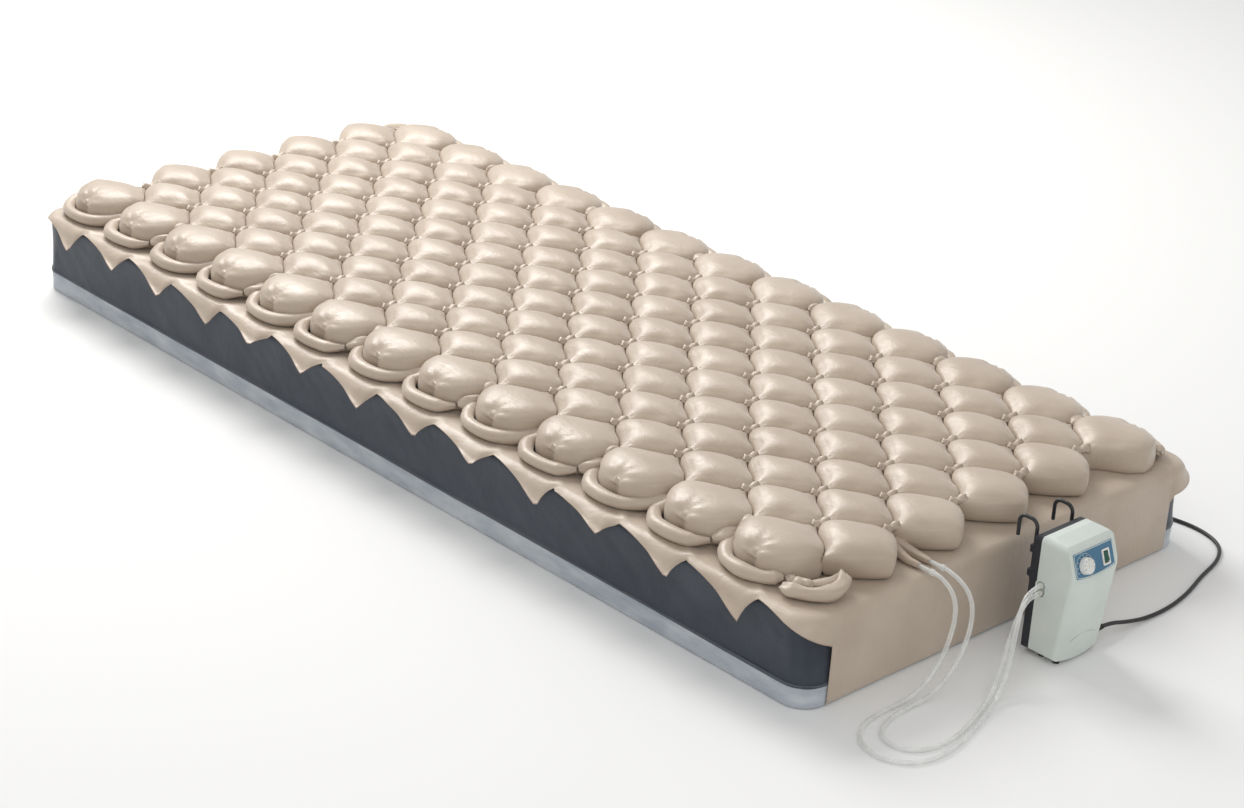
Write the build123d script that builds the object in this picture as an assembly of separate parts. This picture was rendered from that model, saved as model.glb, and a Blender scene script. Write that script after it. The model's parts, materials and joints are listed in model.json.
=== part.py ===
"""Alternating-pressure pad on a foam mattress, with its air pump, hoses and mains lead.

Millimetres. The origin is at the centre of the mattress's underside, +X towards the foot end,
+Y towards the side that is away from the user, and +Z up.
"""

from build123d import *
import math
import os

# ------------------------------------------------------------------ driving sizes
MATTRESS_L, MATTRESS_W, MATTRESS_H = 2030.0, 910.0, 150.0
CORNER_R = 45.0  # plan corner of the mattress
TOP_EDGE_R = 14.0  # rolled upper edge of the mattress
COVER_T = 1.2  # coated cover fabric
SOFT_GAP = 0.4  # clearance between soft layers
BASE_COVER_H = 37.0  # height of the lower, grey part of the cover
ZIP_H = 4.0

CELL_PITCH_X, CELL_PITCH_Y = 148.0, 152.0  # one row of cells to the next in the same circuit
ROWS, CELLS_PER_ROW = 13, 5  # for each of the two air circuits
CELL_H = 60.0
FILM_T = 0.8
TUCK_L = 250.0  # how far the end flaps go under the mattress
TOOTH_LOW, TOOTH_HIGH = 42.0, 18.0  # how far the points and the notches of the hem hang down
CHANNEL_D = 21.0  # inflated supply channel along each side

HOSE_D = 7.0
CORD_D = 6.5
COIL_R = 35.0  # middle of the coil's turns

PUMP_X, PUMP_Y = 1085.0, 5.0  # the pump's back face and its middle
PUMP_W, PUMP_H = 108.0, 204.0
PUMP_DEEP, PUMP_SHALLOW, PUMP_TOP = 84.0, 68.0, 64.0  # depths at panel, bottom and top
FOOT_H = 5.0
WALL = 2.5
SPLIT = 14.0  # depth of the charcoal back case
PANEL_LOW, PANEL_HIGH = 142.0, 196.0  # heights of the sloping control panel

LATTICE_L = (ROWS + 0.5) * CELL_PITCH_X
LATTICE_W = (CELLS_PER_ROW + 0.5) * CELL_PITCH_Y
FILM_Z = MATTRESS_H + SOFT_GAP
CELL_Z = FILM_Z + FILM_T + SOFT_GAP
PUMP = Pos(PUMP_X, PUMP_Y, 0)

nodes = {}


def block(x0, x1, y0, y1, z0, z1):
    """A box between two corners."""
    return Pos((x0 + x1) / 2, (y0 + y1) / 2, (z0 + z1) / 2) * Box(x1 - x0, y1 - y0, z1 - z0)


def rod(start, along, length, radius):
    """A cylinder from a point, along an axis."""
    return extrude(Plane(origin=start, z_dir=along) * Circle(radius), length)


def slab(length, width, z0, z1, corner, top_round=0.0):
    """A mattress-shaped slab: rounded in plan, and rolled along its upper edge."""
    body = extrude(Plane.XY.offset(z0) * RectangleRounded(length, width, corner), z1 - z0)
    if top_round:
        body = fillet(body.edges().group_by(Axis.Z)[-1], top_round)
    return body


def group(solids):
    return Compound(children=list(solids))


# ------------------------------------------------------------------ foam mattress and its cover
def inset_slab(inset, z0, z1, top_round=0.0):
    return slab(
        MATTRESS_L - 2 * inset, MATTRESS_W - 2 * inset, z0, z1, CORNER_R - inset, top_round
    )


def mattress():
    tuck = COVER_T  # the flaps of the pad lie in a shallow pocket this deep
    floor_z = tuck + COVER_T
    gap = COVER_T + SOFT_GAP
    nodes["foam_core"] = inset_slab(
        gap, floor_z + SOFT_GAP, MATTRESS_H - gap, TOP_EDGE_R - gap
    )
    base = inset_slab(0, 0, BASE_COVER_H) - inset_slab(COVER_T, floor_z, BASE_COVER_H + 1)
    half_flap = LATTICE_W / 2 - 8
    for side in (-1, 1):
        inner, outer = MATTRESS_L / 2 - TUCK_L - 5, MATTRESS_L / 2 + 1
        x0, x1 = sorted((side * inner, side * outer))
        base -= block(x0, x1, -half_flap, half_flap, -1, tuck)
    nodes["cover_base"] = base
    top_z = BASE_COVER_H + ZIP_H + 0.4
    nodes["cover_top"] = inset_slab(0, top_z, MATTRESS_H, TOP_EDGE_R) - inset_slab(
        COVER_T, top_z - 1, MATTRESS_H - COVER_T, TOP_EDGE_R - COVER_T
    )
    nodes["zip_tape"] = inset_slab(-0.2, BASE_COVER_H + 0.2, BASE_COVER_H + 0.2 + ZIP_H) - (
        inset_slab(COVER_T, 0, MATTRESS_H / 2)
    )
    x, y, z = -MATTRESS_L / 2 + 130, MATTRESS_W / 2 + 0.9, BASE_COVER_H + ZIP_H / 2
    runner = fillet(block(x, x + 13, y, y + 4, z - 4, z + 4).edges(), 1.2)
    tab = block(x + 4, x + 9, y + 1.2, y + 2.8, z - 30, z - 3)
    nodes["zip_slider"] = runner + tab


# ------------------------------------------------------------------ the air pad
def hem_skirt():
    """One side of the pad's bottom film, hanging over the mattress in a row of points."""
    half = MATTRESS_L / 2 - CORNER_R - 2
    pitch = 2 * half / ROWS
    points = [(-half, FILM_Z + FILM_T), (-half, FILM_Z - TOOTH_HIGH)]
    for i in range(ROWS):
        points.append((-half + (i + 0.62) * pitch, FILM_Z - TOOTH_LOW))
        points.append((-half + (i + 1) * pitch, FILM_Z - TOOTH_HIGH))
    points.append((half, FILM_Z + FILM_T))
    return extrude(Plane.XZ * make_face(Polyline(*points, close=True)), -FILM_T)


def pad_film():
    grow = SOFT_GAP + FILM_T
    film = slab(
        MATTRESS_L + 2 * grow, MATTRESS_W + 2 * grow, FILM_Z, FILM_Z + FILM_T, CORNER_R + grow
    )
    skirt = hem_skirt()
    film += Pos(0, MATTRESS_W / 2 + SOFT_GAP, 0) * skirt
    film += Pos(0, -MATTRESS_W / 2 - grow, 0) * skirt
    half_flap = LATTICE_W / 2 - 10
    end_x = MATTRESS_L / 2 + SOFT_GAP
    for side in (-1, 1):
        x0, x1 = sorted((side * end_x, side * (end_x + FILM_T)))
        film += block(x0, x1, -half_flap, half_flap, 0, FILM_Z + FILM_T)
        x0, x1 = sorted((side * (end_x + FILM_T), side * (MATTRESS_L / 2 - TUCK_L)))
        film += block(x0, x1, -half_flap, half_flap, 0, FILM_T)
    nodes["pad_base_film"] = film


def cell_block():
    """One inflated cell: a diamond in plan that draws in towards its top."""
    levels = ((0, 0.975), (0.47, 0.9), (0.8, 0.66), (1, 0.3))  # height and width, as shares
    rings = []
    for height, share in levels:
        a, b = share * CELL_PITCH_X / 2, share * CELL_PITCH_Y / 2
        corners = [(a, 0), (0, b), (-a, 0), (0, -b)]
        plane = Plane.XY.offset(CELL_Z + height * CELL_H)
        rings.append(plane * make_face(Polyline(*corners, close=True)))
    return loft(rings, ruled=True)


def air_cells(first):
    """The cells of one circuit; first is its first cell's place in the lattice, in pitches."""
    cell = cell_block()
    places = [
        ((i + first) * CELL_PITCH_X - LATTICE_L / 2, (j + first) * CELL_PITCH_Y - LATTICE_W / 2)
        for i in range(ROWS)
        for j in range(CELLS_PER_ROW)
    ]
    return group(Pos(x, y, 0) * cell for x, y in places)


def supply_channel(side, first):
    """Short inflated runs that pass round the outer tip of each cell along one side."""
    out, inward = LATTICE_W / 2 + 16, LATTICE_W / 2 - 20
    z = CELL_Z + CHANNEL_D / 2
    runs = []
    for k in range(2 * ROWS - 1):
        x0 = (first + k / 2) * CELL_PITCH_X - LATTICE_L / 2
        y0, y1 = (out, inward) if k % 2 == 0 else (inward, out)
        start, end = Vector(x0, side * y0, z), Vector(x0 + CELL_PITCH_X / 2, side * y1, z)
        along = (end - start).normalized()
        length = (end - start).length
        runs.append(rod(start + along * 6, along, length - 12, CHANNEL_D / 2))
    return group(runs)


NIPPLE_END_X = MATTRESS_L / 2 + 12
NIPPLE_Z = CELL_Z + 6.5
NIPPLE_Y = {"a": -202.0, "b": -178.0}


def inlet_nipple(y):
    """A short tube welded between the films, with a collar that the hose pushes up to."""
    start = (NIPPLE_END_X - 46, y, NIPPLE_Z)
    tube = rod(start, (1, 0, 0), 46, HOSE_D / 2)
    collar = rod((NIPPLE_END_X - 8, y, NIPPLE_Z), (1, 0, 0), 5, HOSE_D / 2 + 1.5)
    return tube + collar - rod(start, (1, 0, 0), 46, 1.8)


def pad():
    pad_film()
    nodes["air_cells_a"] = air_cells(0.5)
    nodes["air_cells_b"] = air_cells(1.0)
    nodes["supply_channel_a"] = supply_channel(-1, 0.5)
    nodes["supply_channel_b"] = supply_channel(1, 1.0)
    for name, y in NIPPLE_Y.items():
        nodes[f"inlet_nipple_{name}"] = inlet_nipple(y)


# ------------------------------------------------------------------ pump case
PANEL_SLOPE = Vector(PUMP_TOP - PUMP_DEEP, 0, PANEL_HIGH - PANEL_LOW).normalized()
PANEL_OUT = Vector(PANEL_SLOPE.Z, 0, -PANEL_SLOPE.X)
PANEL = Plane(
    origin=((PUMP_TOP + PUMP_DEEP) / 2, 0, (PANEL_LOW + PANEL_HIGH) / 2),
    x_dir=(0, 1, 0),
    z_dir=PANEL_OUT,
)  # on the sloping face: x to the far side, y up the slope, z outwards


def case_blank(inset):
    """The pump's outer form, or the same form with its walls moved inwards."""
    bottom = FOOT_H
    side = make_face(
        Polyline(
            (0, bottom),
            (0, PUMP_H - 6),
            (30, PUMP_H),
            (PUMP_TOP - 6, PUMP_H - 4),
            (PUMP_TOP, PANEL_HIGH),
            (PUMP_DEEP, PANEL_LOW),
            (PUMP_DEEP + 8, PANEL_LOW - 14),
            (PUMP_SHALLOW + 8, bottom),
            close=True,
        )
    )
    side = offset(fillet(side.vertices(), radius=3), -inset)
    slope = (PUMP_DEEP - PUMP_SHALLOW) / (PANEL_LOW - bottom)
    half = PUMP_W / 2
    bow = 4.5
    plan = make_face(
        Polyline((PUMP_DEEP - bow, -half), (-40, -half), (-40, half), (PUMP_DEEP - bow, half))
        + ThreePointArc((PUMP_DEEP - bow, half), (PUMP_DEEP, 0), (PUMP_DEEP - bow, -half))
    )
    plan = offset(fillet(plan.vertices().group_by(Axis.X)[-1], radius=9), -inset)
    front = make_face(
        Polyline((-half, bottom + 6), (-half, PUMP_H), (half, PUMP_H), (half, bottom + 6))
        + ThreePointArc((half, bottom + 6), (0, bottom), (-half, bottom + 6))
    )
    front = fillet(front.vertices().group_by(Axis.Y)[-1], radius=12)
    front = offset(fillet(front.vertices().group_by(Axis.Y)[0], radius=5), -inset)
    body = extrude(Plane.XZ * side, PUMP_W, both=True)
    body &= extrude(Plane.XY.offset(PANEL_LOW) * plan, 3 * PUMP_H, dir=(slope, 0, 1), both=True)
    body &= extrude(Plane.YZ * front, 2 * PUMP_W, both=True)
    return body



PORT_X, PORT_Z = 24.0, 118.0  # middle of the hose port in the pump's near side
PORT_W, PORT_H = 18.0, 28.0
HOSE_STEP = 13.0  # one hose above the other
HOSE_START_Y = -PUMP_W / 2 - 4
GLAND_X, GLAND_Z, GLAND_END_Y = 52.0, 22.0, PUMP_W / 2 + 24
SCREW_Y, SCREW_Z = 46.0, (30.0, 172.0)
KNOB_X, ROCKER_X = -24.0, 26.0  # places on the panel, from its middle
KNOB_R, KNOB_H = 13.5, 9.0
ROCKER_R, ROCKER_W = 9.3, 10.4
BEZEL_W, BEZEL_H = 17.0, 25.0
FUSE_Y = -30.0
FILTER_Z, FILTER_R = 74.0, 17.0


def on_panel(shape):
    return PANEL * shape


def port_oval(width, height, y0, y1):
    """A stadium-shaped plug through the near side wall at the hose port."""
    sketch = Plane.XZ * (Pos(PORT_X, PORT_Z) * Rot(0, 0, 90) * SlotOverall(height, width))
    return Pos(0, y1, 0) * extrude(sketch, y1 - y0)


def case_halves():
    shell = case_blank(0) - case_blank(WALL)
    keep_back = block(-50, SPLIT - 0.15, -100, 100, -50, 300)
    keep_front = block(SPLIT + 0.15, 200, -100, 100, -50, 300)
    back, front = shell & keep_back, shell & keep_front
    for y in (-SCREW_Y, SCREW_Y):
        for z in SCREW_Z:
            back += rod((1, y, z), (1, 0, 0), SPLIT - 1.15, 6.2) & case_blank(0.5)
            front += rod((SPLIT + 0.15, y, z), (1, 0, 0), 26, 6.5) & case_blank(0.5)
            back -= rod((-1, y, z), (1, 0, 0), 30, 1.8)
            back -= rod((-1, y, z), (1, 0, 0), 5, 3.7)
            front -= rod((0, y, z), (1, 0, 0), 36, 1.55)
    front -= port_oval(PORT_W + 0.4, PORT_H + 0.4, -60, -45)
    front -= rod((GLAND_X, 40, GLAND_Z), (0, 1, 0), 20, 5.2)
    front -= on_panel(rod((KNOB_X, 0, -8), (0, 0, 1), 16, 3.6))
    front -= on_panel(Pos(ROCKER_X, 0, 0) * Box(BEZEL_W - 4, BEZEL_H - 3.2, 16))
    for y in (-36, 36):
        for x in (SPLIT + 14, PUMP_SHALLOW - 12):
            front -= rod((x, y, 0), (0, 0, 1), 20, 2.1)
    back -= rod((-1, 0, FILTER_Z), (1, 0, 0), 6, 4)
    for y in (-FILTER_R * 0.55, FILTER_R * 0.55):
        back -= rod((-1, y, FILTER_Z), (1, 0, 0), 6, 2.2)
    nodes["pump_back_case"], nodes["pump_front_case"] = back, front


def case_fittings():
    feet = []
    for y in (-36, 36):
        for x in (SPLIT + 14, PUMP_SHALLOW - 12):
            feet.append(rod((x, y, 0), (0, 0, 1), 5.2, 5) + rod((x, y, 5), (0, 0, 1), 7, 1.95))
    nodes["rubber_feet"] = group(feet)
    screws = []
    for y in (-SCREW_Y, SCREW_Y):
        for z in SCREW_Z:
            head = rod((0.8, y, z), (1, 0, 0), 3, 3.3) - block(0, 2, y - 3, y + 3, z - 0.4, z + 0.4)
            screws.append(head + rod((3.8, y, z), (1, 0, 0), 26, 1.5))
    nodes["case_screws"] = group(screws)


def control_panel():
    """The panel's face plate, with the knob and the switch that come through it."""
    half_w, top, low, bow = 46.0, 22.5, -20.0, 4.0
    outline = Polyline((-half_w, low + bow), (-half_w, top), (half_w, top), (half_w, low + bow))
    outline += ThreePointArc((half_w, low + bow), (0, low), (-half_w, low + bow))
    plate = make_face(outline)
    plate = fillet(plate.vertices(), radius=3)
    plate -= Pos(KNOB_X, 0) * Circle(3.8) + Pos(ROCKER_X, 0) * Rectangle(
        BEZEL_W - 4, BEZEL_H - 3.2
    )
    nodes["control_panel"] = on_panel(Pos(0, 0, 0.1) * extrude(plate, 0.7))


def pressure_control():
    """The dial knob with its stem, and the bleed regulator that it turns."""
    lobes = Circle(KNOB_R)
    for k in range(18):
        turn = 2 * math.pi * k / 18
        lobes -= Pos(KNOB_R * math.cos(turn) * 1.04, KNOB_R * math.sin(turn) * 1.04) * Circle(1.1)
    knob = Pos(0, 0, 1.6) * extrude(lobes, KNOB_H)
    knob = knob & Pos(0, 0, 1.6) * extrude(Circle(KNOB_R), KNOB_H, taper=8)
    knob += Pos(0, 3.4, 1.6 + KNOB_H) * Box(1.8, 11, 1.4, align=(Align.CENTER,) * 2 + (Align.MIN,))
    knob += rod((0, 0, -15), (0, 0, 1), 17, 3)
    nodes["pressure_knob"] = on_panel(Pos(KNOB_X, 0, 0) * knob)
    body = rod((0, 0, -17), (0, 0, 1), 13, 8) + rod((0, -7, -11), (0, -1, 0), 9, 2.4)
    body -= rod((0, 0, -15.4), (0, 0, 1), 14, 3.06)
    nodes["pressure_regulator"] = on_panel(Pos(KNOB_X, 0, 0) * body)


def power_switch():
    bezel = Pos(0, 0, 0.9) * extrude(RectangleRounded(BEZEL_W, BEZEL_H, 2), 1.7)
    bezel += Pos(0, 0, -10.2) * extrude(Rectangle(BEZEL_W - 4.6, BEZEL_H - 3.8), 12)
    bezel -= Pos(0, 0, -9.6) * extrude(Rectangle(ROCKER_W + 0.6, 2 * ROCKER_R + 0.6), 20)
    nodes["switch_bezel"] = on_panel(Pos(ROCKER_X, 0, 0) * bezel)
    drum = rod((-ROCKER_W / 2, 0, 0), (1, 0, 0), ROCKER_W, ROCKER_R)
    drum &= Pos(0, 0, 0.5) * Box(ROCKER_W, 3 * ROCKER_R, 11)
    for side in (-1, 1):
        drum -= Rot(side * 10, 0, 0) * Pos(0, side * 6, 5.2 + 5) * Box(20, 12, 10)
    rocker = Pos(0, 0, -3) * Rot(-8, 0, 0) * drum
    nodes["switch_rocker"] = on_panel(Pos(ROCKER_X, 0, 0) * rocker)


def hose_port():
    """The oval insert in the case's near side and the two nozzles that pass through it."""
    lip_y, wall_y = -PUMP_W / 2 - 1.2, -PUMP_W / 2 - 0.1
    insert = port_oval(PORT_W + 4, PORT_H + 4, lip_y, wall_y)
    insert += port_oval(PORT_W, PORT_H, wall_y - 0.1, -48)
    insert -= port_oval(PORT_W - 3, PORT_H - 3, lip_y - 1, -50)
    for name, step in (("a", HOSE_STEP / 2), ("b", -HOSE_STEP / 2)):
        z = PORT_Z + step
        insert -= rod((PORT_X, -60, z), (0, 1, 0), 20, 3.1)
        tube = rod((PORT_X, HOSE_START_Y, z), (0, 1, 0), 20, 3.0)
        tube += rod((PORT_X, HOSE_START_Y, z), (0, 1, 0), 4, HOSE_D / 2 + 0.9)
        nodes[f"hose_nozzle_{name}"] = tube - rod((PORT_X, -62, z), (0, 1, 0), 30, 1.7)
    nodes["hose_port_insert"] = insert


def hang_hooks():
    """Two coated wire hooks that reach over a bed's footboard and fold flat behind the case."""
    x, reach, low, top = -6.0, 34.0, 120.0, 216.0
    clips = []
    for name, y in (("left", -42.0), ("right", 42.0)):
        route = [(x, y, low), (x, y, top), (x - reach, y, top), (x - reach, y, top - 36)]
        path = FilletPolyline(*route, radius=12)
        wire = sweep(Plane(origin=route[0], z_dir=(0, 0, 1)) * Circle(3), path=path)
        for z in (low + 4, low + 44):
            wire += rod((x, y, z), (0, 0, 1), 2, 4.2)
            saddle = block(x - 3.6, -0.1, y - 7, y + 7, z + 2.4, z + 14)
            clips.append(saddle - rod((x, y, z), (0, 0, 1), 20, 3.1))
        nodes[f"hang_hook_{name}"] = wire
    nodes["hook_saddles"] = group(clips)


def intake_filter():
    x = -4.0
    cover = rod((x, 0, FILTER_Z), (1, 0, 0), 3.8, FILTER_R)
    cover -= rod((x + 1.4, 0, FILTER_Z), (1, 0, 0), 4, FILTER_R - 1.6)
    for k in range(-2, 3):
        cover -= block(x - 1, x + 2, -9, 9, FILTER_Z + 5 * k - 1, FILTER_Z + 5 * k + 1)
    nodes["air_filter_cover"] = cover
    nodes["air_filter_felt"] = rod((x + 1.7, 0, FILTER_Z), (1, 0, 0), 2, FILTER_R - 2.2)


# ------------------------------------------------------------------ inside the pump
CHASSIS_X, CHASSIS_T = 14.6, 2.4
COIL_Z, ARM_TOP_Z = 66.0, 100.0
ARM_Y = 21.0
TIMER_Y, TIMER_Z = 16.0, 136.0


def magnet_drive():
    """The mains electromagnet and the two swing arms that it shakes."""
    middle = 32.0
    core = block(middle - 11, middle + 11, -16, 16, COIL_Z - 12, COIL_Z + 12)
    nodes["magnet_core"] = core - block(middle - 11.5, middle + 11.5, 11, 17, COIL_Z - 3, COIL_Z + 3)
    coil = fillet(
        block(middle - 16, middle + 16, -10, 10, COIL_Z - 19, COIL_Z + 19).edges(), radius=3
    )
    gap = 0.2
    nodes["magnet_coil"] = coil - block(
        middle - 11 - gap, middle + 11 + gap, -11, 11, COIL_Z - 12 - gap, COIL_Z + 12 + gap
    )
    for name, side in (("a", -1), ("b", 1)):
        y = side * ARM_Y
        arm = block(24, 40, y - 1.2, y + 1.2, 48, ARM_TOP_Z)
        arm += rod((24, y, ARM_TOP_Z), (1, 0, 0), 16, 4)
        arm -= rod((20, y, ARM_TOP_Z), (1, 0, 0), 30, 1.55)
        magnet_y = y - side * 1.9
        arm += block(26, 38, magnet_y - 0.7, magnet_y + 0.7, COIL_Z - 9, COIL_Z + 9)
        nodes[f"magnet_arm_{name}"] = arm


def air_heads():
    """On each side a rubber bellows, and the valve chamber that it pumps through."""
    z = 56.0
    for name, side in (("a", -1), ("b", 1)):
        start, out = side * 24.5, (0, side, 0)
        bellows = rod((32, start, z), out, 5.5, 7)
        for step in (1.0, 3.5):
            bellows += rod((32, start + side * step, z), out, 1.4, 11.5)
        bellows += rod((32, start + side * 5, z), out, 1.4, 13)
        nodes[f"bellows_{name}"] = bellows
        y0, y1 = sorted((side * 31.1, side * 45))
        chamber = block(18, 46, y0, y1, z - 16, z + 16)
        chamber = fillet(chamber.edges().filter_by(Axis.Y), 3)
        chamber += rod((32, side * 38, z + 15), (0, 0, 1), 9, 2.5)
        chamber -= rod((32, side * 38, z + 4), (0, 0, 1), 30, 1.4)
        nodes[f"valve_chamber_{name}"] = chamber


def chassis():
    """The plate that carries the works, with the two pins that the arms swing on."""
    plate = block(CHASSIS_X, CHASSIS_X + CHASSIS_T, -37, 37, 36, 116)
    plate -= block(CHASSIS_X - 1, CHASSIS_X + 5, -11, 11, COIL_Z - 20, COIL_Z + 20)
    for side in (-1, 1):
        plate += rod((CHASSIS_X, side * ARM_Y, ARM_TOP_Z), (1, 0, 0), 27, 1.5)
    nodes["works_chassis"] = plate


def air_timer():
    """The small geared motor whose disc sends the air to one circuit and then the other."""
    y, z = TIMER_Y, TIMER_Z
    motor = rod((CHASSIS_X, y, z), (1, 0, 0), 11, 17)
    motor += block(CHASSIS_X, CHASSIS_X + 1.5, y - 22, y + 22, z - 4, z + 4)
    nodes["timer_motor"] = motor - rod((CHASSIS_X + 5, y, z), (1, 0, 0), 10, 2.05)
    disc_x = CHASSIS_X + 12
    disc = rod((disc_x, y, z), (1, 0, 0), 4, 14) + rod((CHASSIS_X + 6, y, z), (1, 0, 0), 7, 2)
    disc -= rod((disc_x + 2.4, y + 7, z), (1, 0, 0), 4, 2.4)
    nodes["distributor_disc"] = disc
    body_x = disc_x + 4.2
    body = rod((body_x, y, z), (1, 0, 0), 9, 16)
    for step in (-7.5, 7.5):
        body += rod((body_x + 5, y - 14, z + step), (0, -1, 0), 12, 2.5)
        body -= rod((body_x + 5, y - 2, z + step), (0, -1, 0), 30, 1.4)
    body += rod((body_x + 8, y + 6, z), (1, 0, 0), 9, 2.5)
    nodes["distributor_body"] = body


def inner_hoses():
    """Silicone hoses from the distributor to the nozzles and from the air heads up."""
    hoses = []
    outlet_x, outlet_y = CHASSIS_X + 21.2, TIMER_Y - 26.2
    for step, z_to in ((7.5, PORT_Z + HOSE_STEP / 2), (-7.5, PORT_Z - HOSE_STEP / 2)):
        z = TIMER_Z + step
        route = [
            (outlet_x, outlet_y, z),
            (outlet_x - 1, outlet_y - 9, z),
            (PORT_X, -30, z_to),
            (PORT_X, -37.8, z_to),
        ]
        path = FilletPolyline(*route, radius=4)
        hoses.append(sweep(Plane(origin=route[0], z_dir=(0, -1, 0)) * Circle(2.5), path=path))
    nodes["outlet_hoses"] = group(hoses)


def electrics():
    board = block(CHASSIS_X, CHASSIS_X + 1.6, -44, -8, 122, 163)
    for k in range(3):
        board += rod((CHASSIS_X, -38 + 11 * k, 155), (1, 0, 0), 9, 3)
    board += block(CHASSIS_X, CHASSIS_X + 8, -36, -22, 136, 146)
    nodes["circuit_board"] = board
    holder = rod((52, FUSE_Y, 14), (0, 0, 1), 27, 5.5) - rod((52, FUSE_Y, 16), (0, 0, 1), 40, 3.2)
    nodes["fuse_holder"] = holder
    nodes["fuse"] = rod((52, FUSE_Y, 17), (0, 0, 1), 20, 2.6)
    gland = rod((GLAND_X, 46.5, GLAND_Z), (0, 1, 0), 4, 6.4)
    gland += rod((GLAND_X, 50, GLAND_Z), (0, 1, 0), 5, 5)
    lip = Plane(origin=(GLAND_X, PUMP_W / 2 + 0.2, GLAND_Z), z_dir=(0, 1, 0))
    gland += extrude(lip * Circle(6.2), 2)
    tip = Plane(origin=(GLAND_X, GLAND_END_Y, GLAND_Z), z_dir=(0, 1, 0))
    gland += loft([lip.offset(2) * Circle(5.2), tip * Circle(CORD_D / 2 + 0.8)])
    nodes["cord_gland"] = gland


def pump():
    before = set(nodes)
    for make in (
        case_halves, case_fittings, control_panel, pressure_control, power_switch, hose_port,
        hang_hooks, intake_filter, magnet_drive, air_heads, chassis, air_timer, inner_hoses,
        electrics,
    ):
        make()
    for name in set(nodes) - before:
        nodes[name] = PUMP * nodes[name]


# ------------------------------------------------------------------ hoses and mains lead
def tube_along(route, diameter, label):
    """A round tube on straight runs joined by arcs, each as large as its two runs allow."""
    points = [Vector(*p) for p in route]
    radii = []
    for before, here, after in zip(points, points[1:], points[2:]):
        turn = math.radians((here - before).get_angle(after - here))
        radii.append(0.45 * min((here - before).length, (after - here).length) / math.tan(turn / 2))
    path = FilletPolyline(*route, radius=radii)
    start = Plane(origin=points[0], z_dir=points[1] - points[0])
    tube = sweep(start * Circle(diameter / 2), path=path)
    print(
        f"{label}: {path.length:.0f} mm long, radii",
        " ".join(f"{r:.0f}" for r in radii),
        f"volume ratio {tube.volume / (math.pi * diameter**2 / 4 * path.length):.4f}",
    )
    return tube


HOSE_FLOOR, CORD_FLOOR = HOSE_D / 2 + 0.2, CORD_D / 2 + 0.2
PORT_ROW_X = PUMP_X + PORT_X
HOSE_ROW_Y = PUMP_Y + HOSE_START_Y
HOSE_A_ROUTE = [
    (NIPPLE_END_X, -202, NIPPLE_Z), (1054, -203, 155), (1081, -210, 128), (1087, -227, 78),
    (1086, -258, 31), (1083, -300, 6), (1079, -350, HOSE_FLOOR), (1084, -402, HOSE_FLOOR),
    (1112, -444, HOSE_FLOOR), (1160, -456, HOSE_FLOOR), (1201, -430, HOSE_FLOOR),
    (1215, -382, HOSE_FLOOR), (1208, -330, HOSE_FLOOR), (1193, -280, HOSE_FLOOR),
    (1176, -230, 5), (1159, -184, 17), (1142, -148, 47), (1127, -122, 86), (1115, -98, 115),
    (1110, -74, 124), (PORT_ROW_X, HOSE_ROW_Y, PORT_Z + HOSE_STEP / 2),
]
HOSE_B_ROUTE = [
    (NIPPLE_END_X, -178, NIPPLE_Z), (1057, -178.5, 155), (1090, -184, 131), (1101, -200, 86),
    (1101, -228, 38), (1098, -268, 8), (1095, -316, HOSE_FLOOR), (1099, -364, HOSE_FLOOR),
    (1118, -406, HOSE_FLOOR), (1156, -416, HOSE_FLOOR), (1186, -394, HOSE_FLOOR),
    (1196, -352, HOSE_FLOOR), (1189, -305, HOSE_FLOOR), (1174, -257, HOSE_FLOOR),
    (1158, -213, 6), (1141, -172, 22), (1126, -138, 54), (1115, -110, 88), (1110, -86, 106),
    (PORT_ROW_X - 0.5, -69, 111), (PORT_ROW_X, HOSE_ROW_Y, PORT_Z - HOSE_STEP / 2),
]
COIL_X, COIL_Y = 780.0, 515.0
COIL_OUTER = COIL_R + CORD_D / 2  # middle of the outer turns
COIL_ENTRY_Y = COIL_Y - COIL_OUTER
CORD_ROUTE = [
    (PUMP_X + GLAND_X, PUMP_Y + GLAND_END_Y, GLAND_Z), (1137.5, 104, 21), (1140, 138, 12),
    (1145, 184, 4.5), (1146, 246, CORD_FLOOR), (1134, 314, CORD_FLOOR),
    (1112, 380, CORD_FLOOR), (1098, 444, CORD_FLOOR), (1066, 496, CORD_FLOOR),
    (1008, 517, CORD_FLOOR), (946, 509, CORD_FLOOR), (888, 492, CORD_FLOOR),
    (832, 479, CORD_FLOOR), (COIL_X, COIL_ENTRY_Y, CORD_FLOOR),
]
TAIL_Z = CORD_FLOOR + CORD_D
TAIL_ROUTE = [
    (COIL_X, COIL_ENTRY_Y, TAIL_Z), (754, COIL_ENTRY_Y - 0.8, TAIL_Z), (728, 477.5, TAIL_Z - 0.4),
]
PLUG_X, PLUG_Y, PLUG_Z = 708.0, 478.0, TAIL_Z - 0.4
PLUG_W, PLUG_H, PLUG_L = 24.0, 17.0, 34.0


def cords():
    nodes["hose_a"] = tube_along(HOSE_A_ROUTE, HOSE_D, "hose_a")
    nodes["hose_b"] = tube_along(HOSE_B_ROUTE, HOSE_D, "hose_b")
    nodes["power_cord"] = tube_along(CORD_ROUTE, CORD_D, "power_cord")
    nodes["power_cord_tail"] = tube_along(TAIL_ROUTE, CORD_D, "power_cord_tail")
    thick = 2 * CORD_D + 0.4
    ring = Circle(COIL_R + CORD_D) - Circle(COIL_R - CORD_D)
    nodes["power_cord_coil"] = Pos(COIL_X, COIL_Y, 0.2) * extrude(ring, thick)


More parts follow.
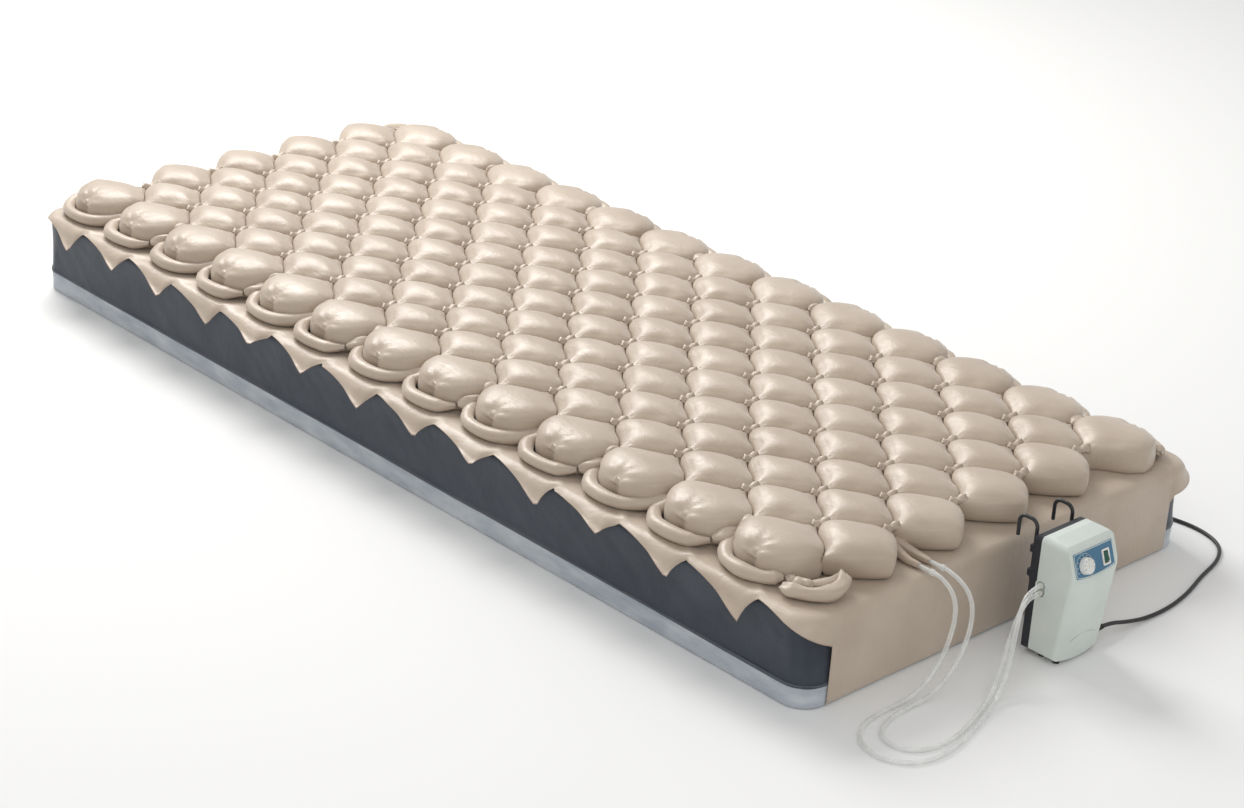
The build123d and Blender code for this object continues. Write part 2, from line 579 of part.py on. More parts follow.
def power_plug():
    z0 = PLUG_Z - PLUG_H / 2
    body = block(PLUG_X - PLUG_L, PLUG_X, PLUG_Y - PLUG_W / 2, PLUG_Y + PLUG_W / 2, z0, z0 + PLUG_H)
    body = fillet(body.edges(), radius=3)
    sleeve = Plane(origin=(PLUG_X - 0.5, PLUG_Y, PLUG_Z), z_dir=(1, 0, 0))
    tip = Plane(origin=TAIL_ROUTE[-1], z_dir=(1, 0, 0))
    nodes["power_plug"] = body + loft([sleeve * Circle(6.2), tip * Circle(CORD_D / 2 + 0.6)])
    face_x = PLUG_X - PLUG_L
    pins = []
    for side in (-1, 1):
        y = PLUG_Y + side * 6.35
        pins.append(block(face_x - 17, face_x, y - 0.75, y + 0.75, PLUG_Z - 3.2, PLUG_Z + 3.2))
    nodes["plug_pins"] = group(pins)


mattress()
pad()
pump()
cords()
power_plug()

os.makedirs("parts", exist_ok=True)
for name, shape in sorted(nodes.items()):
    export_step(shape, f"parts/{name}.step")
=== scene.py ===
"""Looks of the alternating-pressure pad, its mattress and its pump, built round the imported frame.

Metres, in the frame's own axes: +X to the foot end, +Y to the far side, +Z up.
"""

import json
import math
import random

import bpy
import numpy as np
from mathutils import Matrix, Vector, noise


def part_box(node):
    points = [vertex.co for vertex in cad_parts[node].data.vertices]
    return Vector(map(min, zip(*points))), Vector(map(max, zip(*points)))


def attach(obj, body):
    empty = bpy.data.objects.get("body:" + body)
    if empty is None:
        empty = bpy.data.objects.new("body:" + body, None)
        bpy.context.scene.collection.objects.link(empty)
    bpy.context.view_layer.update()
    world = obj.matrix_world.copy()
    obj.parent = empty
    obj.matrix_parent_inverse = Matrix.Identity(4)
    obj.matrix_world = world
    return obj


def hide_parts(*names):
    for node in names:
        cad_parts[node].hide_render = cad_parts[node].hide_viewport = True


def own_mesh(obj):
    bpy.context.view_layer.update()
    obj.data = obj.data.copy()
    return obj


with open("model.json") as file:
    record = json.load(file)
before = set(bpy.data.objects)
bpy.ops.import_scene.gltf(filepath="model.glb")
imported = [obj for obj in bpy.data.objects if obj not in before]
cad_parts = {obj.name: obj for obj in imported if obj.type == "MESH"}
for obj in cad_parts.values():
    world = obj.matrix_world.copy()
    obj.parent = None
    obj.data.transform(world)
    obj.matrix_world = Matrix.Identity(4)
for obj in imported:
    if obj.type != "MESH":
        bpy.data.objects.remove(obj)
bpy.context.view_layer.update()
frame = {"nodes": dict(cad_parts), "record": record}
ROOT = "mattress"

# ------------------------------------------------------------------ sizes from the frame
HALF_L, HALF_W, TOP_Z = Vector(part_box("cover_top")[1])
BASE_Z = Vector(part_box("cover_base")[0]).z
ROWS, ACROSS = 13, 5
PITCH_X, PITCH_Y = 0.148, 0.152
LATTICE_X, LATTICE_Y = -(ROWS + 0.5) * PITCH_X / 2, -(ACROSS + 0.5) * PITCH_Y / 2
FILM_Z = TOP_Z + 0.0012  # top of the pad's bottom film
CROWN_Z = Vector(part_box("air_cells_a")[1]).z
WELD_Z = FILM_Z + 0.029  # where the upper and lower films of a cell are welded
CORNER_R = 0.045
OUTLINE = 4 * (HALF_L + HALF_W - 2 * CORNER_R) + 2 * math.pi * CORNER_R
FLAP_Z, ZIP_TOP_Z = 0.0375, 0.0417  # lower edge of the navy cover, and just above the zip


# ------------------------------------------------------------------ camera
def add_camera():
    """A long lens at the foot end's near corner, looking down at the pad."""
    camera = bpy.data.objects.new("camera", bpy.data.cameras.new("camera"))
    bpy.context.collection.objects.link(camera)
    place, aim, roll = Vector((3.201, -2.992, 1.991)), Vector((0.595, -0.446, 0.339)), 3.47
    turn = (aim - place).to_track_quat("-Z", "Y").to_matrix().to_4x4()
    turn = turn @ Matrix.Rotation(math.radians(roll), 4, "Z")
    camera.matrix_world = Matrix.Translation(place) @ turn
    camera.data.lens = 77.5
    camera.data.sensor_width = 36
    bpy.context.scene.camera = camera


# ------------------------------------------------------------------ node materials
def new_material(name, color, rough, **sockets):
    """A Principled material; returns the material, its node tree and its shader."""
    material = bpy.data.materials.new(name)
    material.use_nodes = True
    tree = material.node_tree
    shader = tree.nodes["Principled BSDF"]
    shader.inputs["Base Color"].default_value = (*color, 1)
    shader.inputs["Roughness"].default_value = rough
    for socket, value in sockets.items():
        shader.inputs[socket.replace("_", " ")].default_value = value
    return material, tree, shader


def texture_noise(tree, scale, detail=4.0, rough=0.55, stretch=(1, 1, 1), distortion=0.0):
    """A noise texture on object coordinates."""
    place = tree.nodes.new("ShaderNodeTexCoord")
    mapping = tree.nodes.new("ShaderNodeMapping")
    mapping.inputs["Scale"].default_value = stretch
    tex = tree.nodes.new("ShaderNodeTexNoise")
    tex.inputs["Scale"].default_value = scale
    tex.inputs["Detail"].default_value = detail
    tex.inputs["Roughness"].default_value = rough
    tex.inputs["Distortion"].default_value = distortion
    tree.links.new(place.outputs["Object"], mapping.inputs["Vector"])
    tree.links.new(mapping.outputs["Vector"], tex.inputs["Vector"])
    return tex


def color_between(tree, source, low, high, start=0.3, end=0.7):
    """A colour ramp from low to high over a range of a texture's value."""
    ramp = tree.nodes.new("ShaderNodeValToRGB")
    ramp.color_ramp.elements[0].position, ramp.color_ramp.elements[0].color = start, (*low, 1)
    ramp.color_ramp.elements[1].position, ramp.color_ramp.elements[1].color = end, (*high, 1)
    tree.links.new(source, ramp.inputs["Fac"])
    return ramp.outputs["Color"]


def value_between(tree, source, low, high):
    span = tree.nodes.new("ShaderNodeMapRange")
    span.inputs["From Min"].default_value, span.inputs["From Max"].default_value = 0.3, 0.7
    span.inputs["To Min"].default_value, span.inputs["To Max"].default_value = low, high
    tree.links.new(source, span.inputs["Value"])
    return span.outputs["Result"]


def bump(tree, shader, *layers):
    """Bump nodes in a chain; each layer is a texture's output, a strength and a depth."""
    normal = None
    for source, strength, depth in layers:
        node = tree.nodes.new("ShaderNodeBump")
        node.inputs["Strength"].default_value = strength
        node.inputs["Distance"].default_value = depth
        tree.links.new(source, node.inputs["Height"])
        if normal:
            tree.links.new(normal, node.inputs["Normal"])
        normal = node.outputs["Normal"]
    tree.links.new(normal, shader.inputs["Normal"])


def vinyl(name, low, high, rough):
    """Soft satin vinyl film: uneven tone, faint embossing and small creases."""
    material, tree, shader = new_material(
        name, high, rough, Coat_Weight=0.12, Coat_Roughness=0.32, Sheen_Weight=0.2
    )
    tone = texture_noise(tree, 9, 3)
    tree.links.new(
        color_between(tree, tone.outputs["Fac"], low, high), shader.inputs["Base Color"]
    )
    grain, crease = texture_noise(tree, 900, 2), texture_noise(tree, 55, 3, distortion=0.8)
    tree.links.new(
        value_between(tree, crease.outputs["Fac"], rough - 0.05, rough + 0.08),
        shader.inputs["Roughness"],
    )
    streak = texture_noise(tree, 26, 4, stretch=(1, 2.6, 1), distortion=1.4)
    bump(
        tree, shader, (streak.outputs["Fac"], 0.3, 0.003), (crease.outputs["Fac"], 0.25, 0.0015),
        (grain.outputs["Fac"], 0.12, 0.0002),
    )
    return material


def woven(name, low, high, rough, thread, stretch=(1, 1, 1)):
    """Cover cloth: a fine crossed weave with cloudy tone."""
    material, tree, shader = new_material(name, high, rough, Sheen_Weight=0.3)
    cloud = texture_noise(tree, 14, 5, stretch=stretch)
    tree.links.new(
        color_between(tree, cloud.outputs["Fac"], low, high), shader.inputs["Base Color"]
    )
    place = tree.nodes.new("ShaderNodeTexCoord")
    total = None
    for direction in ("X", "Z"):
        wave = tree.nodes.new("ShaderNodeTexWave")
        wave.bands_direction = direction
        wave.inputs["Scale"].default_value = 1 / thread / 20
        wave.inputs["Distortion"].default_value = 0.6
        tree.links.new(place.outputs["Object"], wave.inputs["Vector"])
        if total is None:
            total = wave.outputs["Fac"]
        else:
            mix = tree.nodes.new("ShaderNodeMath")
            mix.operation = "MAXIMUM"
            tree.links.new(total, mix.inputs[0])
            tree.links.new(wave.outputs["Fac"], mix.inputs[1])
            total = mix.outputs["Value"]
    soft = texture_noise(tree, 30, 4, stretch=stretch, distortion=0.6)
    bump(tree, shader, (soft.outputs["Fac"], 0.35, 0.003), (total, 0.25, 0.0002))
    return material


def moulded(name, low, high, rough, grain=700, depth=0.00012, **sockets):
    """Moulded plastic, rubber or coated metal: fine texture and faint handling marks."""
    material, tree, shader = new_material(name, high, rough, **sockets)
    tone, fine = texture_noise(tree, 22, 4), texture_noise(tree, grain, 2)
    tree.links.new(
        color_between(tree, tone.outputs["Fac"], low, high), shader.inputs["Base Color"]
    )
    tree.links.new(
        value_between(tree, tone.outputs["Fac"], rough - 0.05, rough + 0.07),
        shader.inputs["Roughness"],
    )
    bump(tree, shader, (fine.outputs["Fac"], 0.2, depth))
    return material


def clear_tube(name):
    """Clear vinyl tube: clearer where seen square on, milky at its edges."""
    material, tree, shader = new_material(name, (0.86, 0.87, 0.86), 0.12, Coat_Weight=0.6)
    facing = tree.nodes.new("ShaderNodeLayerWeight")
    facing.inputs["Blend"].default_value = 0.45
    span = tree.nodes.new("ShaderNodeMapRange")
    span.inputs["To Min"].default_value, span.inputs["To Max"].default_value = 0.3, 0.92
    tree.links.new(facing.outputs["Facing"], span.inputs["Value"])
    tree.links.new(span.outputs["Result"], shader.inputs["Alpha"])
    cloudy = texture_noise(tree, 60, 3)
    tree.links.new(
        color_between(tree, cloudy.outputs["Fac"], (0.74, 0.75, 0.73), (0.93, 0.94, 0.92)),
        shader.inputs["Base Color"],
    )
    return material


# A darker, warmer copy of the film for the lowest band of the hem: painted shade for the shaded
# underside of its curled edge.
HEM_PAINTED_SHADE = vinyl("vinyl_hem_painted_shade", (0.42, 0.308, 0.238), (0.50, 0.376, 0.298), 0.42)
MATERIALS = {
    "foam": moulded("foam_cells", (0.62, 0.55, 0.33), (0.72, 0.66, 0.44), 0.9, 350, 0.0008),
    "navy_cover": woven("navy_cloth", (0.013, 0.021, 0.035), (0.026, 0.037, 0.054), 0.66, 0.0012),
    "grey_cover": woven(
        "grey_ticking", (0.33, 0.37, 0.42), (0.54, 0.57, 0.60), 0.85, 0.0016, (1, 1, 3)
    ),
    "zip_tape": moulded("zip_teeth", (0.05, 0.06, 0.08), (0.09, 0.1, 0.12), 0.6, 400, 0.0006),
    "zip_metal": moulded("zip_metal", (0.5, 0.5, 0.5), (0.62, 0.62, 0.6), 0.32, Metallic=1.0),
    "pad_film": vinyl("vinyl_film", (0.440, 0.352, 0.270), (0.528, 0.438, 0.348), 0.4),
    "clear_tube": clear_tube("clear_vinyl"),
    "case_grey": moulded("case_light", (0.60, 0.655, 0.61), (0.66, 0.71, 0.665), 0.42),
    "case_charcoal": moulded("case_dark", (0.012, 0.014, 0.02), (0.022, 0.025, 0.033), 0.55),
    "panel_blue": moulded("panel_film", (0.05, 0.16, 0.27), (0.065, 0.19, 0.31), 0.3),
    "white_plastic": moulded("dial_white", (0.72, 0.72, 0.68), (0.8, 0.8, 0.76), 0.38),
    "rocker_green": moulded("rocker_green", (0.004, 0.05, 0.03), (0.01, 0.12, 0.07), 0.2),
    "coated_wire": moulded("wire_coating", (0.012, 0.012, 0.014), (0.03, 0.03, 0.034), 0.38),
    "black_rubber": moulded("black_rubber", (0.01, 0.01, 0.01), (0.024, 0.024, 0.024), 0.7),
    "cord_black": moulded("cord_jacket", (0.012, 0.012, 0.013), (0.028, 0.028, 0.03), 0.45),
    "plug_brass": moulded("plug_brass", (0.6, 0.45, 0.2), (0.72, 0.56, 0.28), 0.25, Metallic=1.0),
    "screw_steel": moulded("screw_zinc", (0.5, 0.5, 0.5), (0.66, 0.66, 0.66), 0.3, Metallic=1.0),
    "steel_sheet": moulded("sheet_steel", (0.4, 0.41, 0.42), (0.58, 0.58, 0.6), 0.36, Metallic=1.0),
    "winding": moulded("copper_tape", (0.3, 0.1, 0.03), (0.48, 0.19, 0.07), 0.4, 300, 0.0004),
    "arm_alloy": moulded("arm_alloy", (0.55, 0.55, 0.56), (0.7, 0.7, 0.7), 0.35, Metallic=1.0),
    "nylon": moulded("nylon", (0.62, 0.62, 0.57), (0.72, 0.72, 0.66), 0.45),
    "board_green": moulded("solder_mask", (0.01, 0.07, 0.03), (0.02, 0.12, 0.05), 0.35),
    "silicone": moulded("silicone", (0.5, 0.49, 0.45), (0.6, 0.58, 0.53), 0.4),
    "fuse_glass": moulded("fuse_glass", (0.7, 0.75, 0.75), (0.8, 0.85, 0.85), 0.08),
    "felt": moulded("felt", (0.2, 0.2, 0.18), (0.32, 0.32, 0.29), 0.95, 250, 0.0008),
}


def frame_node(name):
    """A CAD node's object."""
    node = frame["nodes"][name]
    return bpy.data.objects[node] if isinstance(node, str) else node


def paint_cad_nodes():
    """Every CAD node takes the finish of its slot."""
    for part in frame["record"]["subparts"]:
        node = frame_node(part["node"])
        node.data.materials.clear()
        node.data.materials.append(MATERIALS[part["material_slot"]])


# ------------------------------------------------------------------ mesh helpers
def add_piece(name, points, faces, slot, body=ROOT):
    """A smooth mesh piece on a body, with its slot's finish."""
    mesh = bpy.data.meshes.new(name)
    mesh.from_pydata([tuple(p) for p in points], [], [tuple(f) for f in faces])
    mesh.update()
    mesh.shade_smooth()
    mesh.materials.append(MATERIALS[slot])
    piece = bpy.data.objects.new(name, mesh)
    bpy.context.collection.objects.link(piece)
    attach(piece, body)
    return piece


def apply_modifiers(piece):
    """The piece's mesh as its modifiers leave it, with none left on it."""
    graph = bpy.context.evaluated_depsgraph_get()
    made = bpy.data.meshes.new_from_object(piece.evaluated_get(graph))
    piece.modifiers.clear()
    piece.data = made


def grid_faces(rows, columns, first=0, closed=False):
    """Quads of a grid whose points run along each row in turn."""
    faces = []
    for r in range(rows - 1):
        for c in range(columns if closed else columns - 1):
            n = (c + 1) % columns
            a, b = first + r * columns + c, first + r * columns + n
            faces.append((a, b, b + columns, a + columns))
    return faces


def cap_ends(faces, first, rings, around):
    """Closes both ends of a tube whose points run ring by ring."""
    faces.append(tuple(first + k for k in range(around)))
    faces.append(tuple(first + (rings - 1) * around + k for k in reversed(range(around))))


def wave(x, y, z=0.0):
    """Smooth noise from -1 to 1."""
    return noise.noise((x, y, z))


# ------------------------------------------------------------------ cords
HOSE_D, CORD_D = 0.007, 0.0065
HOSE_FLOOR, CORD_FLOOR = HOSE_D / 2 + 0.0002, CORD_D / 2 + 0.0002
HOSE_A_ROUTE = [
    (1.027, -0.202, 0.1581), (1.054, -0.203, 0.155), (1.081, -0.210, 0.128),
    (1.087, -0.227, 0.078), (1.086, -0.258, 0.031), (1.083, -0.300, 0.006),
    (1.079, -0.350, HOSE_FLOOR), (1.084, -0.402, HOSE_FLOOR), (1.112, -0.444, HOSE_FLOOR),
    (1.160, -0.456, HOSE_FLOOR), (1.201, -0.430, HOSE_FLOOR), (1.215, -0.382, HOSE_FLOOR),
    (1.208, -0.330, HOSE_FLOOR), (1.193, -0.280, HOSE_FLOOR), (1.176, -0.230, 0.005),
    (1.159, -0.184, 0.017), (1.142, -0.148, 0.047), (1.127, -0.122, 0.086),
    (1.115, -0.098, 0.115), (1.110, -0.074, 0.124), (1.109, -0.053, 0.1245),
]
HOSE_B_ROUTE = [
    (1.027, -0.178, 0.1581), (1.057, -0.1785, 0.155), (1.090, -0.184, 0.131),
    (1.101, -0.200, 0.086), (1.101, -0.228, 0.038), (1.098, -0.268, 0.008),
    (1.095, -0.316, HOSE_FLOOR), (1.099, -0.364, HOSE_FLOOR), (1.118, -0.406, HOSE_FLOOR),
    (1.156, -0.416, HOSE_FLOOR), (1.186, -0.394, HOSE_FLOOR), (1.196, -0.352, HOSE_FLOOR),
    (1.189, -0.305, HOSE_FLOOR), (1.174, -0.257, HOSE_FLOOR), (1.158, -0.213, 0.006),
    (1.141, -0.172, 0.022), (1.126, -0.138, 0.054), (1.115, -0.110, 0.088),
    (1.110, -0.086, 0.106), (1.1085, -0.069, 0.111), (1.109, -0.053, 0.1115),
]
CORD_ROUTE = [
    (1.137, 0.083, 0.022), (1.1375, 0.104, 0.021), (1.140, 0.138, 0.012),
    (1.145, 0.184, 0.0045), (1.146, 0.246, CORD_FLOOR), (1.134, 0.314, CORD_FLOOR),
    (1.112, 0.380, CORD_FLOOR), (1.098, 0.444, CORD_FLOOR), (1.066, 0.496, CORD_FLOOR),
    (1.008, 0.517, CORD_FLOOR), (0.946, 0.509, CORD_FLOOR), (0.888, 0.492, CORD_FLOOR),
    (0.832, 0.479, CORD_FLOOR),
]
COIL_X, COIL_Y, COIL_R = 0.780, 0.515, 0.035
COIL_TURNS, COIL_STEPS = 4, 16
TAIL_Z = CORD_FLOOR + CORD_D
TAIL_ROUTE = [(0.754, 0.4759, TAIL_Z), (0.728, 0.4775, TAIL_Z - 0.0004)]


def coil_points():
    """Four turns, clockwise from above: outer and inner below, then inner and outer on top."""
    inner, outer = COIL_R - CORD_D / 2, COIL_R + CORD_D / 2
    radii, heights = (outer, inner, inner, outer), (0, 0, 1, 1)
    points = []
    for k in range(COIL_TURNS * COIL_STEPS + 1):
        turn, share = divmod(k / COIL_STEPS, 1.0)
        here = min(int(turn), COIL_TURNS - 1)
        after = min(here + 1, COIL_TURNS - 1)
        ease = max(0.0, (share - 0.8) / 0.2) if turn < COIL_TURNS else 0.0
        radius = radii[here] + (radii[after] - radii[here]) * ease
        height = heights[here] + (heights[after] - heights[here]) * ease
        angle = -math.pi / 2 - 2 * math.pi * k / COIL_STEPS
        points.append(
            (
                COIL_X + radius * math.cos(angle),
                COIL_Y + radius * math.sin(angle),
                CORD_FLOOR + height * CORD_D,
            )
        )
    return points


def add_cord(name, route, diameter, slot):
    """One open NURBS spline through a given route, as a round tube."""
    curve = bpy.data.curves.new(name, "CURVE")
    curve.dimensions = "3D"
    curve.bevel_depth = diameter / 2
    curve.bevel_resolution = 5
    curve.resolution_u = 8
    curve.use_fill_caps = True
    spline = curve.splines.new("NURBS")
    spline.points.add(len(route) - 1)
    for point, place in zip(spline.points, route):
        point.co = (*place, 1)
    spline.order_u = 3
    spline.use_endpoint_u = True
    piece = bpy.data.objects.new(name, curve)
    bpy.context.collection.objects.link(piece)
    curve.materials.append(MATERIALS[slot])
    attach(piece, ROOT)
    return piece


def add_cords():
    for name, route, length in (("a", HOSE_A_ROUTE, 0.905), ("b", HOSE_B_ROUTE, 0.826)):
        hose = add_cord(f"air_hose_{name}", route, HOSE_D, "clear_tube")
        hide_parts(f"hose_{name}")
    lead = add_cord("mains_lead", CORD_ROUTE + coil_points() + TAIL_ROUTE, CORD_D, "cord_black")
    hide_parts("power_cord", "power_cord_coil", "power_cord_tail")


# ------------------------------------------------------------------ mattress
def outline_point(s):
    """A point and outward normal at arc length s along the mattress's outline.

    It starts at the near side's head end and runs to the foot, then round.
    """
    straight = (2 * (HALF_L - CORNER_R), 2 * (HALF_W - CORNER_R))
    arc = math.pi / 2 * CORNER_R
    corners = [(HALF_L, -HALF_W), (HALF_L, HALF_W), (-HALF_L, HALF_W), (-HALF_L, -HALF_W)]
    for k in range(4):
        run, heading = straight[k % 2], k * math.pi / 2
        along = Vector((math.cos(heading), math.sin(heading)))
        out = Vector((along.y, -along.x))
        centre = Vector(corners[k]) - (along + out) * CORNER_R
        if s <= run:
            return centre + out * CORNER_R - along * (run - s), out
        s -= run
        if s <= arc:
            turn = heading + s / CORNER_R
            normal = Vector((math.sin(turn), -math.cos(turn)))
            return centre + normal * CORNER_R, normal
        s -= arc
    return outline_point(s)


def add_slab(name, node, slot, levels, stations, caps, shape):
    """Rings round the mattress, one for each inset and height, moved by shape and capped."""
    points = []
    for inset, z in levels:
        for k in range(stations):
            place, normal = outline_point(OUTLINE * k / stations)
            out, up = shape(place, normal, z)
            place = place + normal * (out - inset)
            points.append((place.x, place.y, z + up))
    faces = grid_faces(len(levels), stations, closed=True)
    if "top" in caps:
        first = (len(levels) - 1) * stations
        faces.append(tuple(range(first, first + stations)))
    if "bottom" in caps:
        faces.append(tuple(reversed(range(stations))))
    piece = add_piece(name, points, faces, slot)
    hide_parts(node)
    return piece


def flap_line(place):
    """Height of the navy cover's lower edge: over the zip, but above it on the far side."""
    wavy = 0.0025 * wave(place.x * 5, place.y * 5, 3) + 0.0035 * wave(place.x * 1.7, 2, 5)
    far = max(0.0, min(1.0, (place.y - HALF_W + 0.06) / 0.05))
    return (FLAP_Z + wavy) * (1 - far) + ZIP_TOP_Z * far


def navy_shape(place, normal, z):
    """Soft upright folds and long dents, most in the middle of the side."""
    t = (z - FLAP_Z) / (TOP_Z - FLAP_Z)
    up = (flap_line(place) - FLAP_Z) * max(0.0, 1 - t) ** 2
    calm = math.sin(math.pi * min(1.0, max(0.0, t * 0.86 + 0.07)))
    along = place.x * normal.y - place.y * normal.x
    folds = wave(along * 9 + z * 14, z * 7, 1) * 0.0026 + wave(along * 3.1, z * 11, 7) * 0.0034
    fine = abs(wave(along * 22 - z * 30, z * 9, 4)) * 0.0016
    lip = 0.0016 * max(0.0, 1 - t * 14)
    return (folds - fine - 0.0040) * calm + lip, up


def grey_shape(place, normal, z):
    """Slack ticking with shallow folds along its length."""
    t = max(0.0, min(1.0, z / 0.038))
    along = place.x * normal.y - place.y * normal.x
    folds = 0.0012 * wave(along * 18, z * 30, 9) + 0.0022 * wave(along * 4, z * 20, 2)
    return (folds - 0.0014) * math.sin(math.pi * t), 0.0


def plain_shape(place, normal, z):
    return 0.0, 0.0


QUARTER_TURN = [math.pi / 2 * k / 6 for k in range(7)]  # angles along a rounded edge


def add_mattress():
    """The navy upper cover and the grey lower one."""
    roll = 0.014
    levels = [(0.0022, 0.0372), (0.0, FLAP_Z)]
    levels += [(0.0, FLAP_Z + (TOP_Z - roll - FLAP_Z) * k / 13) for k in range(1, 14)]
    levels += [
        (roll * (1 - math.cos(a)), TOP_Z - roll + roll * math.sin(a)) for a in QUARTER_TURN[1:]
    ]
    levels += [(0.028, TOP_Z), (0.042, TOP_Z)]
    add_slab("mattress_cover_navy", "cover_top", "navy_cover", levels, 720, ["top"], navy_shape)
    levels = [(0.042, BASE_Z), (0.006, BASE_Z), (0.0015, BASE_Z + 0.002)]
    levels += [(0.0006, BASE_Z + 0.004 + 0.033 * k / 7) for k in range(8)]
    add_slab("mattress_cover_grey", "cover_base", "grey_cover", levels, 720, ["bottom"],
             grey_shape)


# ------------------------------------------------------------------ floor and light
def add_area(name, place, target, size, power, color=(1, 1, 1)):
    light = bpy.data.lights.new(name, "AREA")
    light.shape, light.size, light.energy, light.color = "SQUARE", size, power, color
    lamp = bpy.data.objects.new(name, light)
    bpy.context.collection.objects.link(lamp)
    lamp.location = place
    lamp.rotation_euler = (Vector(target) - Vector(place)).to_track_quat("-Z", "Y").to_euler()


def add_studio():
    """A pale floor, white surroundings, a warm key light and a cool fill."""
    half = 30.0
    corners = [(-half, -half, 0), (half, -half, 0), (half, half, 0), (-half, half, 0)]
    mesh = bpy.data.meshes.new("floor")
    mesh.from_pydata(corners, [], [(0, 1, 2, 3)])
    floor = bpy.data.objects.new("floor", mesh)
    bpy.context.collection.objects.link(floor)
    material, _, _ = new_material("floor_white", (0.86, 0.86, 0.85), 0.8)
    mesh.materials.append(material)
    world = bpy.context.scene.world or bpy.data.worlds.new("studio")
    bpy.context.scene.world = world
    world.use_nodes = True
    back = world.node_tree.nodes["Background"]
    back.inputs["Color"].default_value = (1.0, 1.0, 1.0, 1)
    back.inputs["Strength"].default_value = 0.62
    add_area("key", (-2.6, 0.6, 2.9), (0.1, -0.1, 0.1), 2.0, 135, (1, 0.985, 0.965))
    add_area("fill", (3.4, -2.2, 2.6), (0.4, -0.2, 0.1), 2.5, 25, (0.97, 0.98, 1))
    bpy.context.scene.view_settings.view_transform = "Standard"


# ------------------------------------------------------------------ air cells
CELL_STEPS = 28  # quads along each side of a cell's upper film
HALF_X, HALF_Y = PITCH_X / 2, PITCH_Y / 2
WELD_SHRINK = 0.997  # leaves the width of a weld between two cells
WRAP = ((1, 0), (0, 1), (-1, 0), (0, -1))
SWAY = 0.0042  # how far a shared side bows into the narrower of its two cells
EDGE_NOTCH = 0.008  # how far the weld at its outer tip pulls an edge cell in


def cell_side(start, end, share, bulge, notch):
    """A point on one side of a cell: narrow at its necks and full beside them, or round."""
    first, second = 1 - share, share
    if bulge:
        turn = share * math.pi / 2
        first, second = math.cos(turn) ** (2 / bulge), math.sin(turn) ** (2 / bulge)
    x = (start[0] * first + end[0] * second) * HALF_X
    y = (start[1] * first + end[1] * second) * HALF_Y
    if bulge:
        return Vector((x, y + (notch * math.exp(-((x / 0.012) ** 2)) if y < 0 else 0)))
    sway = SWAY * math.sin(2 * math.pi * share) * (-1 if start[1] else 1)
    out = Vector((start[0] + end[0], start[1] + end[1])).normalized()
    return Vector((x, y)) * WELD_SHRINK + out * sway


def cell_plan(bulges, notch):
    """The cell's upper film laid flat: a square grid stretched over its four sides."""
    n = CELL_STEPS
    sides = [
        [cell_side(WRAP[k], WRAP[(k + 1) % 4], i / n, bulges[k], notch) for i in range(n + 1)]
        for k in range(4)
    ]
    low, right, high, left = sides[0], sides[1], sides[2][::-1], sides[3][::-1]
    grid = []
    for j in range(n + 1):
        v = j / n
        for i in range(n + 1):
            u = i / n
            across = low[i] * (1 - v) + high[i] * v
            along = left[j] * (1 - u) + right[j] * u
            flat = (low[0] * (1 - u) + low[n] * u) * (1 - v) + (high[0] * (1 - u) + high[n] * u) * v
            grid.append(across + along - flat)
    return grid


def rim_order():
    """Indices of the grid's border, once round."""
    n, w = CELL_STEPS, CELL_STEPS + 1
    low = list(range(n))
    right = [k * w + n for k in range(n)]
    high = [n * w + n - k for k in range(n)]
    left = [(n - k) * w for k in range(n)]
    return low + right + high + left


def blow_up(seed, bulges=(0, 0, 0, 0), notch=0.0):
    """One cell's upper film, blown up by a cloth simulation; x, y and a height from 0 to 1."""
    rng = random.Random(seed)
    plan = cell_plan(bulges, notch)
    w = CELL_STEPS + 1
    border = set(rim_order())
    points = []
    for k, place in enumerate(plan):
        lift = 0.0 if k in border else 0.0015 + rng.uniform(-0.0004, 0.0004)
        points.append((place.x, place.y, lift))
    mesh = bpy.data.meshes.new("film")
    mesh.from_pydata(points, [], grid_faces(w, w))
    film = bpy.data.objects.new("film", mesh)
    bpy.context.collection.objects.link(film)
    film.vertex_groups.new(name="rim").add(sorted(border), 1.0, "REPLACE")
    cloth = film.modifiers.new("cloth", "CLOTH").settings
    cloth.quality = 7
    cloth.mass = 0.12
    cloth.tension_stiffness = cloth.compression_stiffness = 22
    cloth.shear_stiffness = 8
    cloth.bending_stiffness = 0.6
    cloth.tension_damping = cloth.compression_damping = cloth.shear_damping = 8
    cloth.air_damping = 3
    cloth.vertex_group_mass = "rim"
    cloth.use_pressure = True
    cloth.uniform_pressure_force = 9
    cloth.shrink_min = -0.1
    cloth.effector_weights.gravity = 0
    scene = bpy.context.scene
    for step in range(1, 27):
        scene.frame_set(step)
    graph = bpy.context.evaluated_depsgraph_get()
    shape = np.array([v.co for v in film.evaluated_get(graph).data.vertices], float)
    scene.frame_set(1)
    bpy.data.objects.remove(film)
    shape[:, 2] /= shape[:, 2].max()
    shape = relaxed(shape, bool(notch))
    return pucker(shape, notch - HALF_Y) if notch else shape


